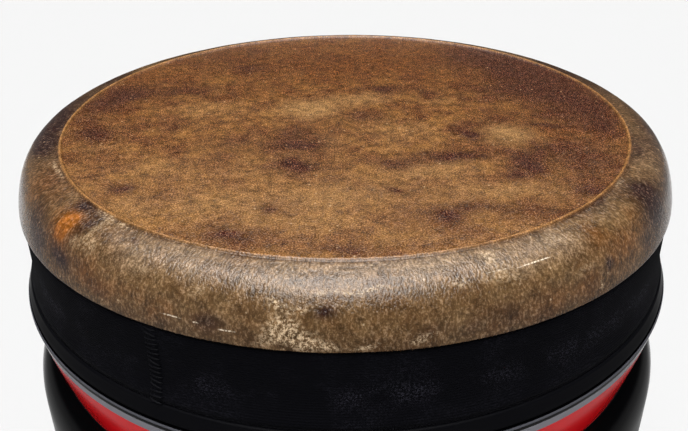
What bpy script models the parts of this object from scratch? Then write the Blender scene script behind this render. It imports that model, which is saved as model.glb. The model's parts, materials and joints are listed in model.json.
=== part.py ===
"""Hand drum: a thick hide head over a turned shell with a recessed striped neck.

Every piece is a body of revolution about +Z. The drum stands on its open foot at z = 0.
Radii grow outwards from the ridge that the hide makes over the shell's bearing edge, and
heights run down from that ridge. All sizes are in metres.
"""

import math

import bmesh
import bpy

# Overall sizes
DRUM_HEIGHT = 0.2750
RIDGE_RADIUS = 0.1100
TURN_STEPS = 64

# Fit between pieces that touch
SEAT_GAP = 0.0003

# Hide head: flat playing face, raised ridge, sloping collar
HIDE_THICKNESS = 0.0020
CREST_HEIGHT = 0.0008
CREST_HALF_WIDTH = 0.0014
COLLAR_WIDTH = 0.0177
COLLAR_DEPTH = 0.0202
COLLAR_SQUARENESS = 2.2
HIDE_EDGE_ROUND = 0.0006

# Knit band below the hide
BAND_HEIGHT = 0.0287
BAND_INSET = 0.0009
BAND_HEM_FLARE = 0.0023
BAND_HEM_HEIGHT = 0.0110

# Moulded ring below the band
RING_HEIGHT = 0.0042
RING_STEP = 0.0001
RING_FLARE = 0.0007
RING_EDGE_ROUND = 0.0007

# Shell: lip under the ring, tapered neck, body with a rounded shoulder, open foot
SHELL_WALL = 0.0050
BEARING_EDGE_WIDTH = 0.0035
LIP_OVERHANG = 0.0012
LIP_THICKNESS = 0.0014
NECK_HEIGHT = 0.0300
NECK_TAPER = 0.0068
NECK_BOW = 0.0003
SHOULDER_OVERHANG = 0.0088
SHOULDER_DROP = 0.0150
SHOULDER_SQUARENESS = 2.2
FOOT_INSET = 0.0200
FOOT_ROUND = 0.0010
BODY_BOW_POWER = 2.0

# Points along each curved stretch
COLLAR_STEPS = 6
CREST_STEPS = 3
HEM_STEPS = 3
NECK_STEPS = 2
SHOULDER_STEPS = 5
BODY_STEPS = 5

# Points on the axis closer than this become one
MERGE_DISTANCE = 0.00001

# Heights where one piece ends and the next begins
FACE_Z = DRUM_HEIGHT - CREST_HEIGHT
HIDE_EDGE_Z = DRUM_HEIGHT - COLLAR_DEPTH
BAND_TOP_Z = HIDE_EDGE_Z - SEAT_GAP
BAND_BOTTOM_Z = BAND_TOP_Z - BAND_HEIGHT
RING_TOP_Z = BAND_BOTTOM_Z - SEAT_GAP
RING_BOTTOM_Z = RING_TOP_Z - RING_HEIGHT
LIP_TOP_Z = RING_BOTTOM_Z - SEAT_GAP
SHELF_Z = LIP_TOP_Z - NECK_HEIGHT
SHOULDER_Z = SHELF_Z - SHOULDER_DROP

# Radii, each worked out from the piece that it follows
HIDE_EDGE_RADIUS = RIDGE_RADIUS + COLLAR_WIDTH
SEAT_RADIUS = HIDE_EDGE_RADIUS - HIDE_THICKNESS - SEAT_GAP
BAND_RADIUS = HIDE_EDGE_RADIUS - BAND_INSET
BAND_HEM_RADIUS = BAND_RADIUS + BAND_HEM_FLARE
RING_TOP_RADIUS = BAND_HEM_RADIUS + RING_STEP
RING_BOTTOM_RADIUS = RING_TOP_RADIUS + RING_FLARE
LIP_RADIUS = RING_BOTTOM_RADIUS + LIP_OVERHANG
WAIST_RADIUS = LIP_RADIUS - NECK_TAPER
BODY_RADIUS = WAIST_RADIUS + SHOULDER_OVERHANG
FOOT_RADIUS = BODY_RADIUS - FOOT_INSET

# Colour, roughness and metallic value of each piece
FINISHES = {
    "hide_head": ((0.270, 0.130, 0.050), 0.50, 0.0),
    "knit_band": ((0.006, 0.006, 0.009), 0.90, 0.0),
    "rim_ring": ((0.012, 0.012, 0.014), 0.40, 0.0),
    "drum_shell": ((0.010, 0.010, 0.012), 0.15, 0.0),
}


def clear_scene():
    """Remove every object that the file starts with."""
    for old in list(bpy.data.objects):
        bpy.data.objects.remove(old, do_unlink=True)


def rounded_corner(centre, width, height, squareness, steps):
    """Points from the top of a corner round to its side, centre at the corner's inside."""
    points = []
    for step in range(steps + 1):
        angle = math.pi / 2 * (1 - step / steps)
        across = max(math.cos(angle), 0.0) ** (2 / squareness)
        upward = max(math.sin(angle), 0.0) ** (2 / squareness)
        points.append((centre[0] + width * across, centre[1] + height * upward))
    return points


def inset_path(points, distance):
    """The same outline moved inwards by a distance, each point along its own normal."""
    moved = []
    for index, (radius, height) in enumerate(points):
        before = points[max(index - 1, 0)]
        after = points[min(index + 1, len(points) - 1)]
        run = after[0] - before[0]
        rise = after[1] - before[1]
        length = math.hypot(run, rise)
        moved.append((radius + rise / length * distance, height - run / length * distance))
    return moved


def collar_curve():
    """The hide's collar, from just outside the ridge round to its lower edge."""
    centre = (RIDGE_RADIUS + CREST_HALF_WIDTH, HIDE_EDGE_Z)
    width = HIDE_EDGE_RADIUS - centre[0]
    height = FACE_Z - HIDE_EDGE_Z
    return rounded_corner(centre, width, height, COLLAR_SQUARENESS, COLLAR_STEPS)


def under_collar(depth):
    """A surface at a depth below the collar, level with the face at its top."""
    curve = inset_path(collar_curve(), depth)
    top = (curve[0][0], FACE_Z - depth)
    bottom = (HIDE_EDGE_RADIUS - depth, HIDE_EDGE_Z)
    return [top] + curve[1:-1] + [bottom]


def ridge_crest():
    """The low rounded ridge between the playing face and the collar."""
    points = []
    for step in range(CREST_STEPS + 1):
        share = step / (CREST_STEPS + 1)
        across = (2 * share - 1) * CREST_HALF_WIDTH
        rise = CREST_HEIGHT * math.sin(math.pi * share)
        points.append((RIDGE_RADIUS + across, FACE_Z + rise))
    return points


def hide_profile():
    """Playing face, ridge, collar, lower edge and the underside back to the axis."""
    collar = collar_curve()
    edge_round = min(HIDE_EDGE_ROUND, HIDE_THICKNESS / 2)
    edge = [
        (HIDE_EDGE_RADIUS, HIDE_EDGE_Z + edge_round),
        (HIDE_EDGE_RADIUS - edge_round, HIDE_EDGE_Z),
    ]
    underside = under_collar(HIDE_THICKNESS)
    return (
        [(0.0, FACE_Z)]
        + ridge_crest()
        + collar[:-1]
        + edge
        + underside[::-1]
        + [(0.0, FACE_Z - HIDE_THICKNESS)]
    )


def band_profile():
    """Straight sleeve whose hem swells out over the ring."""
    inner = SEAT_RADIUS + SEAT_GAP
    hem_height = min(BAND_HEM_HEIGHT, BAND_HEIGHT / 2)
    points = [(BAND_RADIUS, BAND_TOP_Z)]
    for step in range(HEM_STEPS + 1):
        share = step / HEM_STEPS
        radius = BAND_RADIUS + BAND_HEM_FLARE * share ** 2
        points.append((radius, BAND_BOTTOM_Z + hem_height * (1 - share)))
    return points + [(inner, BAND_BOTTOM_Z), (inner, BAND_TOP_Z)]


def ring_profile():
    """Smooth ring, a little wider at its foot, with rounded outer edges."""
    inner = SEAT_RADIUS + SEAT_GAP
    edge = min(RING_EDGE_ROUND, RING_HEIGHT / 3)
    return [
        (RING_TOP_RADIUS - edge, RING_TOP_Z),
        (RING_TOP_RADIUS, RING_TOP_Z - edge),
        (RING_BOTTOM_RADIUS, RING_BOTTOM_Z + edge),
        (RING_BOTTOM_RADIUS - edge, RING_BOTTOM_Z),
        (inner, RING_BOTTOM_Z),
        (inner, RING_TOP_Z),
    ]


def neck_curve():
    """From under the lip in to the waist, bowed out a little between them."""
    top_z = LIP_TOP_Z - LIP_THICKNESS
    points = []
    for step in range(NECK_STEPS + 1):
        share = step / NECK_STEPS
        bow = NECK_BOW * math.sin(math.pi * share)
        radius = LIP_RADIUS - NECK_TAPER * share + bow
        points.append((radius, top_z + (SHELF_Z - top_z) * share))
    return points


def body_curve(inward, foot_z):
    """Side of the body from the shoulder down to a height, moved inwards by a wall."""
    points = []
    for step in range(1, BODY_STEPS + 1):
        share = step / BODY_STEPS
        radius = BODY_RADIUS - FOOT_INSET * share ** BODY_BOW_POWER - inward
        points.append((radius, SHOULDER_Z + (foot_z - SHOULDER_Z) * share))
    return points


def shell_profile():
    """Outer side from the bearing edge down to the foot, then the inside back up."""
    seat = under_collar(HIDE_THICKNESS + SEAT_GAP)
    edge_radius = RIDGE_RADIUS - BEARING_EDGE_WIDTH
    edge_top = (edge_radius, seat[0][1])
    lip = [
        (SEAT_RADIUS, LIP_TOP_Z),
        (LIP_RADIUS - LIP_THICKNESS / 2, LIP_TOP_Z),
        (LIP_RADIUS, LIP_TOP_Z - LIP_THICKNESS / 2),
    ]
    shoulder = rounded_corner(
        (WAIST_RADIUS, SHOULDER_Z), SHOULDER_OVERHANG, SHOULDER_DROP, SHOULDER_SQUARENESS, SHOULDER_STEPS
    )
    foot_round = min(FOOT_ROUND, SHELL_WALL / 3)
    foot = [(FOOT_RADIUS - foot_round, 0.0), (FOOT_RADIUS - SHELL_WALL + foot_round, 0.0)]
    outside = [edge_top] + seat + lip + neck_curve() + shoulder[1:] + body_curve(0.0, foot_round) + foot

    body_inside = body_curve(SHELL_WALL, foot_round)[::-1]
    inner_shoulder = (BODY_RADIUS - SHELL_WALL, SHOULDER_Z)
    waist_inside = [
        (WAIST_RADIUS - SHELL_WALL, SHELF_Z - SHELL_WALL),
        (WAIST_RADIUS - SHELL_WALL, SHELF_Z),
    ]
    seat_inside = (SEAT_RADIUS - SHELL_WALL, LIP_TOP_Z - LIP_THICKNESS)
    under_seat = under_collar(HIDE_THICKNESS + SEAT_GAP + SHELL_WALL)[::-1]
    edge_bottom = (edge_radius, under_seat[-1][1])
    inside = body_inside + [inner_shoulder] + waist_inside + [seat_inside] + under_seat + [edge_bottom]
    return outside + inside


def turned_piece(name, profile, collection, on_axis=False):
    """Turn a profile in the XZ plane about Z into one closed solid."""
    mesh = bpy.data.meshes.new(name)
    drawing = bmesh.new()
    corners = [drawing.verts.new((radius, 0.0, height)) for radius, height in profile]
    for start, end in zip(corners, corners[1:]):
        drawing.edges.new((start, end))
    if not on_axis:
        drawing.edges.new((corners[-1], corners[0]))
    drawing.to_mesh(mesh)
    drawing.free()
    piece = bpy.data.objects.new(name, mesh)
    collection.objects.link(piece)

    turn = piece.modifiers.new("turn", "SCREW")
    turn.axis = "Z"
    turn.angle = 2 * math.pi
    turn.steps = TURN_STEPS
    turn.render_steps = TURN_STEPS
    turn.use_merge_vertices = True
    turn.merge_threshold = MERGE_DISTANCE
    turn.use_smooth_shade = True

    piece.data.materials.append(finish_material(name))
    return piece


def finish_material(name):
    """A plain material with the piece's colour, roughness and metallic value."""
    colour, roughness, metallic = FINISHES[name]
    material = bpy.data.materials.new(name)
    material.use_nodes = True
    shader = material.node_tree.nodes["Principled BSDF"]
    shader.inputs["Base Color"].default_value = (*colour, 1.0)
    shader.inputs["Roughness"].default_value = roughness
    shader.inputs["Metallic"].default_value = metallic
    material.diffuse_color = (*colour, 1.0)
    return material


def build_drum():
    """Build the four pieces of the drum in their own collection."""
    clear_scene()
    drum = bpy.data.collections.new("hand_drum")
    bpy.context.scene.collection.children.link(drum)
    turned_piece("hide_head", hide_profile(), drum, on_axis=True)
    turned_piece("knit_band", band_profile(), drum)
    turned_piece("rim_ring", ring_profile(), drum)
    turned_piece("drum_shell", shell_profile(), drum)


build_drum()
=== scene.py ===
"""Visual model of a hand drum: mottled hide head, knit band, satin ring, glossy shell.

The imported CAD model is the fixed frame. Each class below builds one sub-assembly over its
CAD node, in metres, with +Z along the drum's axis and the drum standing on z = 0.
"""

import json
import logging
import math
from dataclasses import dataclass, field
from enum import Enum
from functools import partial
from typing import Any, Callable, Dict, List, Optional, Sequence, Tuple

import bmesh
import bpy
import numpy as np
from mathutils import Matrix, Vector

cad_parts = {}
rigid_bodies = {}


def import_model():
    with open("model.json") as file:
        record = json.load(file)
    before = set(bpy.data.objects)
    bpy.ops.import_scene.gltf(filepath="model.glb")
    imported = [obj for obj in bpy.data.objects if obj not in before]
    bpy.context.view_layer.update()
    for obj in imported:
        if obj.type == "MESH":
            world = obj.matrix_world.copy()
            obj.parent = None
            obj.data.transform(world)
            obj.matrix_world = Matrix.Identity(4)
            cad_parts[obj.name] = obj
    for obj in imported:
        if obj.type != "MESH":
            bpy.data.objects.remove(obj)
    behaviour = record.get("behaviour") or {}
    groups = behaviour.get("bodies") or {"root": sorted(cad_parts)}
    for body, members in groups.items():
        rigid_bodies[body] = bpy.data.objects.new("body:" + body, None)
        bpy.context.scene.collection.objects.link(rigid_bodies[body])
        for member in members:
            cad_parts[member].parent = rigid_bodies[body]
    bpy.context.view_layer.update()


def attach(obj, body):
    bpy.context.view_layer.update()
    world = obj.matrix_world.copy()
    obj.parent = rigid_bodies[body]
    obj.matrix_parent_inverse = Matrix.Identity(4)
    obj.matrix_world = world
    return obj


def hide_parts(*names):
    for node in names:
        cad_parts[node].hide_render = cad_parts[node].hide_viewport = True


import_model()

LOG = logging.getLogger("hand_drum")
BODY = "root"
MM = 0.001

Point2 = Tuple[float, float]
Mark = Tuple[float, float, float, float, float]
AddNode = Callable[..., Any]

MATH = "ShaderNodeMath"
MIX = "ShaderNodeMix"
NOISE = "ShaderNodeTexNoise"
RANGE = "ShaderNodeMapRange"


class Slot(Enum):
    """Material slots of the record."""

    HIDE = "hide"
    KNIT = "knit"
    RING = "ring"
    SHELL = "shell"


class MarkKind(Enum):
    """Kinds of mark that colour the hide, named as their mesh attributes."""

    STAIN = "stain"
    PALE = "pale"
    AMBER = "amber"
    CREAM = "cream"


def linear(hex_colour: str) -> Tuple[float, float, float, float]:
    """Turn an sRGB hex value into a linear colour.

    Args:
        hex_colour: Six hex digits, with or without a leading hash.

    Returns:
        Red, green, blue and an alpha of 1, in linear light.
    """
    digits = hex_colour.lstrip("#")
    shares = [int(digits[i:i + 2], 16) / 255 for i in (0, 2, 4)]
    bent = [s / 12.92 if s <= 0.04045 else ((s + 0.055) / 1.055) ** 2.4 for s in shares]
    return (bent[0], bent[1], bent[2], 1.0)


def plug(tree: bpy.types.NodeTree, node: bpy.types.Node, inputs: Dict[Any, Any]) -> None:
    """Set a node's inputs to values, or link them.

    Args:
        tree: The node's tree.
        node: The node.
        inputs: Values or output sockets, by the input's name or number.
    """
    for key, value in inputs.items():
        if isinstance(value, bpy.types.NodeSocket):
            tree.links.new(value, node.inputs[key])
        else:
            node.inputs[key].default_value = value


def add_node(
    tree: bpy.types.NodeTree, kind: str, inputs: Optional[Dict[Any, Any]] = None, **settings: Any
) -> Any:
    """Add a node with its settings, input values and links.

    Args:
        tree: The node tree that the node goes into.
        kind: The node's type name.
        inputs: Values or output sockets, by the input's name or number.
        **settings: Properties of the node itself.

    Returns:
        The new node's outputs.
    """
    node = tree.nodes.new(kind)
    for name, value in settings.items():
        setattr(node, name, value)
    plug(tree, node, inputs or {})
    return node.outputs


def coats(add: AddNode, base: Any, layers: Sequence[Tuple[Any, ...]]) -> Any:
    """Lay coats of colour over a base, each as strong as its mask.

    Args:
        add: Adds a node to the material.
        base: The first colour, as a hex value or a socket.
        layers: Each coat's mask and colour and, if it isn't plain paint, how it blends.

    Returns:
        The colour with all its coats.
    """
    colour = linear(base) if isinstance(base, str) else base
    for mask, paint, *blend in layers:
        paint = linear(paint) if isinstance(paint, str) else paint
        colour = add(
            MIX, {0: mask, 6: colour, 7: paint}, data_type="RGBA", blend_type=blend[0] if blend else "MIX"
        )[2]
    return colour


# ---------------------------------------------------------------- outlines


def rounded_corner(
    centre: Point2, width: float, height: float, squareness: float = 2.0, steps: int = 5
) -> List[Point2]:
    """Points of a rounded corner from its top round to its side.

    Args:
        centre: The corner's inner point, as radius and height.
        width: How far the corner reaches outwards.
        height: How far it reaches upwards.
        squareness: 2 for an ellipse, more for a squarer corner.
        steps: The number of steps from top to side.

    Returns:
        The points, top first.
    """
    points = []
    for step in range(steps + 1):
        angle = math.pi / 2 * (1 - step / steps)
        across = max(math.cos(angle), 0.0) ** (2 / squareness)
        upward = max(math.sin(angle), 0.0) ** (2 / squareness)
        points.append((centre[0] + width * across, centre[1] + height * upward))
    return points


def smooth_path(corners: Sequence[Point2], spacing: float) -> List[Point2]:
    """A smooth curve through given points, at even steps.

    Args:
        corners: The points that the curve passes through.
        spacing: The distance between the returned points.

    Returns:
        Points along the curve, with both ends.
    """
    ends = [corners[0], *corners, corners[-1]]
    dense: List[Point2] = []
    for before, start, end, after in zip(ends, ends[1:], ends[2:], ends[3:]):
        steps = max(2, int(math.dist(start, end) / spacing))
        for step in range(steps):
            t = step / steps
            dense.append(tuple(
                0.5 * (
                    2 * b + (c - a) * t + (2 * a - 5 * b + 4 * c - d) * t ** 2
                    + (3 * b - a - 3 * c + d) * t ** 3
                )
                for a, b, c, d in zip(before, start, end, after)
            ))
    dense.append(corners[-1])
    return dense


def straight(start: Point2, end: Point2, spacing: float) -> List[Point2]:
    """Even points along a straight line, without its end point.

    Args:
        start: The first point.
        end: The point that the line runs to.
        spacing: The longest step.

    Returns:
        The points.
    """
    steps = max(1, math.ceil(math.dist(start, end) / spacing))
    return [
        (start[0] + (end[0] - start[0]) * i / steps, start[1] + (end[1] - start[1]) * i / steps)
        for i in range(steps)
    ]


# ---------------------------------------------------------------- node trees


class ShapeTree:
    """A Geometry Nodes tree with named inputs, which ends in one plain, dressed mesh."""

    NAME = "shape"
    INPUTS: Tuple[Tuple[str, str], ...] = ()

    def __init__(self) -> None:
        self.tree = bpy.data.node_groups.new(self.NAME, "GeometryNodeTree")
        face = self.tree.interface
        face.new_socket("Geometry", in_out="INPUT", socket_type="NodeSocketGeometry")
        self.ids = {
            name: face.new_socket(name, in_out="INPUT", socket_type="NodeSocket" + kind).identifier
            for name, kind in (*self.INPUTS, ("Material", "Material"))
        }
        face.new_socket("Geometry", in_out="OUTPUT", socket_type="NodeSocketGeometry")
        add = partial(add_node, self.tree)
        given = add("NodeGroupInput")
        real = add("GeometryNodeRealizeInstances", {0: self.shape(add, given)})[0]
        dressed = add("GeometryNodeSetMaterial", {"Geometry": real, "Material": given["Material"]})[0]
        add("NodeGroupOutput", {0: dressed})

    def shape(self, add: AddNode, given: Any) -> Any:
        """Pass the geometry on as it is."""
        return given["Geometry"]


class LatheTree(ShapeTree):
    """Turns an outline about Z and gives it a low relief."""

    NAME = "turned_form"
    INPUTS = (("Segments", "Int"), ("Relief", "Float"), ("Relief Size", "Float"))
    SEAM_GAP = 0.000002

    def shape(self, add: AddNode, given: Any) -> Any:
        """Lay a grid over the outline, turn it, join its seam and raise the relief.

        Args:
            add: Adds a node to the tree.
            given: The tree's inputs.

        Returns:
            The turned geometry.
        """
        count = add("GeometryNodeAttributeDomainSize", {0: given["Geometry"]})["Point Count"]
        columns = add(MATH, {0: given["Segments"], 1: 1.0}, operation="ADD")[0]
        grid = add(
            "GeometryNodeMeshGrid", {"Size X": 1.0, "Size Y": 1.0, "Vertices X": columns, "Vertices Y": count}
        )["Mesh"]
        index = add("GeometryNodeInputIndex")[0]
        row = add(MATH, {0: index, 1: count}, operation="MODULO")[0]
        share = add(MATH, {0: index, 1: count}, operation="DIVIDE")[0]
        column = add(MATH, {0: share}, operation="FLOOR")[0]
        turn = add(MATH, {0: 2 * math.pi, 1: given["Segments"]}, operation="DIVIDE")[0]
        angle = add(MATH, {0: column, 1: turn}, operation="MULTIPLY")[0]
        place = add("GeometryNodeInputPosition")[0]
        outline = add(
            "GeometryNodeSampleIndex", {"Geometry": given["Geometry"], "Value": place, "Index": row},
            data_type="FLOAT_VECTOR", domain="POINT",
        )[0]
        parts = add("ShaderNodeSeparateXYZ", {0: outline})
        x, y = [
            add(MATH, {0: parts["X"], 1: add(MATH, {0: angle}, operation=wave)[0]}, operation="MULTIPLY")[0]
            for wave in ("COSINE", "SINE")
        ]
        turned_place = add("ShaderNodeCombineXYZ", {0: x, 1: y, 2: parts["Z"]})[0]
        turned = add("GeometryNodeSetPosition", {"Geometry": grid, "Position": turned_place})[0]
        joined = add("GeometryNodeMergeByDistance", {"Geometry": turned, "Distance": self.SEAM_GAP})[0]

        scale = add(MATH, {0: 1.0, 1: given["Relief Size"]}, operation="DIVIDE")[0]
        swell = add(NOISE, {"Vector": place, "Scale": scale, "Detail": 3.0, "Roughness": 0.5})[0]
        centred = add(MATH, {0: swell, 1: 0.5}, operation="SUBTRACT")[0]
        height = add(MATH, {0: centred, 1: given["Relief"]}, operation="MULTIPLY")[0]
        normal = add("GeometryNodeInputNormal")[0]
        lift = add("ShaderNodeVectorMath", {0: normal, "Scale": height}, operation="SCALE")[0]
        raised = add("GeometryNodeSetPosition", {"Geometry": joined, "Offset": lift})[0]
        return add("GeometryNodeSetShadeSmooth", {0: raised})[0]


class RibTree(ShapeTree):
    """Repeats one knit rib round the drum and joins the ribs."""

    NAME = "knit_ribs"
    INPUTS = (("Ribs", "Int"),)
    SEAM_GAP = 0.000005

    def shape(self, add: AddNode, given: Any) -> Any:
        """Set the ribs round the axis and join their edges.

        Args:
            add: Adds a node to the tree.
            given: The tree's inputs.

        Returns:
            The joined ribs.
        """
        places = add("GeometryNodePoints", {"Count": given["Ribs"]})[0]
        index = add("GeometryNodeInputIndex")[0]
        turn = add(MATH, {0: 2 * math.pi, 1: given["Ribs"]}, operation="DIVIDE")[0]
        angle = add(MATH, {0: index, 1: turn}, operation="MULTIPLY")[0]
        rotation = add("ShaderNodeCombineXYZ", {2: angle})[0]
        ribs = add(
            "GeometryNodeInstanceOnPoints",
            {"Points": places, "Instance": given["Geometry"], "Rotation": rotation},
        )[0]
        real = add("GeometryNodeRealizeInstances", {0: ribs})[0]
        joined = add("GeometryNodeMergeByDistance", {"Geometry": real, "Distance": self.SEAM_GAP})[0]
        return add("GeometryNodeSetShadeSmooth", {0: joined})[0]


class StitchTree(ShapeTree):
    """Sets one thread stitch at even steps along a path."""

    NAME = "overlock_stitches"
    INPUTS = (("Stitch", "Object"), ("Pitch", "Float"), ("Azimuth", "Float"), ("Waver", "Float"))
    SEED = 11

    def shape(self, add: AddNode, given: Any) -> Any:
        """Space the path evenly and set a slightly tilted stitch on each point.

        Args:
            add: Adds a node to the tree.
            given: The tree's inputs.

        Returns:
            The row of stitches.
        """
        path = add("GeometryNodeMeshToCurve", {0: given["Geometry"]})[0]
        even = add("GeometryNodeResampleCurve", {"Curve": path, "Length": given["Pitch"]}, mode="LENGTH")[0]
        stitch = add("GeometryNodeObjectInfo", {"Object": given["Stitch"]})["Geometry"]
        less = add(MATH, {0: given["Waver"], 1: -1.0}, operation="MULTIPLY")[0]
        waver = add(
            "FunctionNodeRandomValue", {2: less, 3: given["Waver"], "Seed": self.SEED}, data_type="FLOAT"
        )[1]
        rotation = add("ShaderNodeCombineXYZ", {0: waver, 2: given["Azimuth"]})[0]
        return add(
            "GeometryNodeInstanceOnPoints", {"Points": even, "Instance": stitch, "Rotation": rotation}
        )[0]


def mesh_object(name: str, points: Sequence[Sequence[float]], edges: Sequence[Tuple[int, int]],
                faces: Sequence[Sequence[int]] = ()) -> bpy.types.Object:
    """Make an object from points, edges and faces.

    Args:
        name: The object's name.
        points: The points, in metres.
        edges: Pairs of point numbers.
        faces: Point numbers of each face.

    Returns:
        The linked object.
    """
    mesh = bpy.data.meshes.new(name)
    mesh.from_pydata([tuple(p) for p in points], list(edges), [tuple(f) for f in faces])
    made = bpy.data.objects.new(name, mesh)
    bpy.context.scene.collection.objects.link(made)
    return made


def run_tree(
    start: bpy.types.Object, kit: ShapeTree, values: Dict[str, Any], name: str
) -> bpy.types.Object:
    """Run a Geometry Nodes tree on an object and keep the result as a plain mesh.

    Args:
        start: The object that the tree reads, removed afterwards.
        kit: The tree.
        values: The inputs, by socket name.
        name: The finished piece's name.

    Returns:
        The finished piece.
    """
    modifier = start.modifiers.new("shape", "NODES")
    modifier.node_group = kit.tree
    for socket, value in values.items():
        modifier[kit.ids[socket]] = value
    bpy.context.view_layer.update()
    seen = start.evaluated_get(bpy.context.evaluated_depsgraph_get())
    mesh = bpy.data.meshes.new_from_object(seen, depsgraph=bpy.context.evaluated_depsgraph_get())
    bpy.data.objects.remove(start, do_unlink=True)
    mesh.name = name
    piece = bpy.data.objects.new(name, mesh)
    bpy.context.scene.collection.objects.link(piece)
    return piece


def face_outwards(piece: bpy.types.Object) -> None:
    """Point every face of a closed piece outwards.

    Args:
        piece: The piece to correct.
    """
    work = bmesh.new()
    work.from_mesh(piece.data)
    bmesh.ops.recalc_face_normals(work, faces=work.faces)
    work.to_mesh(piece.data)
    work.free()


def turned_piece(name: str, outline: Sequence[Point2], material: bpy.types.Material, lathe: LatheTree,
                 segments: int, relief: float = 0.0, relief_size: float = 0.02) -> bpy.types.Object:
    """Turn a closed outline about Z with the lathe tree.

    Args:
        name: The piece's name.
        outline: Radius and height of each point, in order round the section.
        material: The piece's material.
        lathe: The lathe tree.
        segments: The number of segments round the drum.
        relief: The full height of the surface's swelling.
        relief_size: The width of one swelling.

    Returns:
        The finished piece.
    """
    points = [(radius, 0.0, height) for radius, height in outline]
    start = mesh_object(name + "_outline", points, [(i, i + 1) for i in range(len(points) - 1)])
    values = {"Segments": segments, "Relief": relief, "Relief Size": relief_size, "Material": material}
    piece = run_tree(start, lathe, values, name)
    face_outwards(piece)
    return piece


def settle(piece: bpy.types.Object, slot: Slot, *nodes: str) -> None:
    """Ride a piece on the drum's body, name its slot and the CAD nodes it stands for.

    Args:
        piece: The finished piece.
        slot: The record's material slot.
        *nodes: CAD nodes that the piece replaces.
    """
    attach(piece, BODY)
    if nodes:
        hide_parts(*nodes)
    triangles = sum(len(f.vertices) - 2 for f in piece.data.polygons)
    LOG.info("%s: %d triangles, slot %s, replaces %s", piece.name, triangles, slot.value, list(nodes))


# ---------------------------------------------------------------- finishes


class Finish:
    """A finish, which names its material and dresses its shader."""

    LABEL = "finish"

    def build(self) -> bpy.types.Material:
        """Make the material and plug what the finish gives into its shader."""
        material = bpy.data.materials.new(self.LABEL)
        material.use_nodes = True
        tree = material.node_tree
        plug(tree, tree.nodes["Principled BSDF"], self.dress(partial(add_node, tree)))
        return material

    def dress(self, add: AddNode) -> Dict[str, Any]:
        """Leave the shader as it is."""
        return {}


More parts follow.
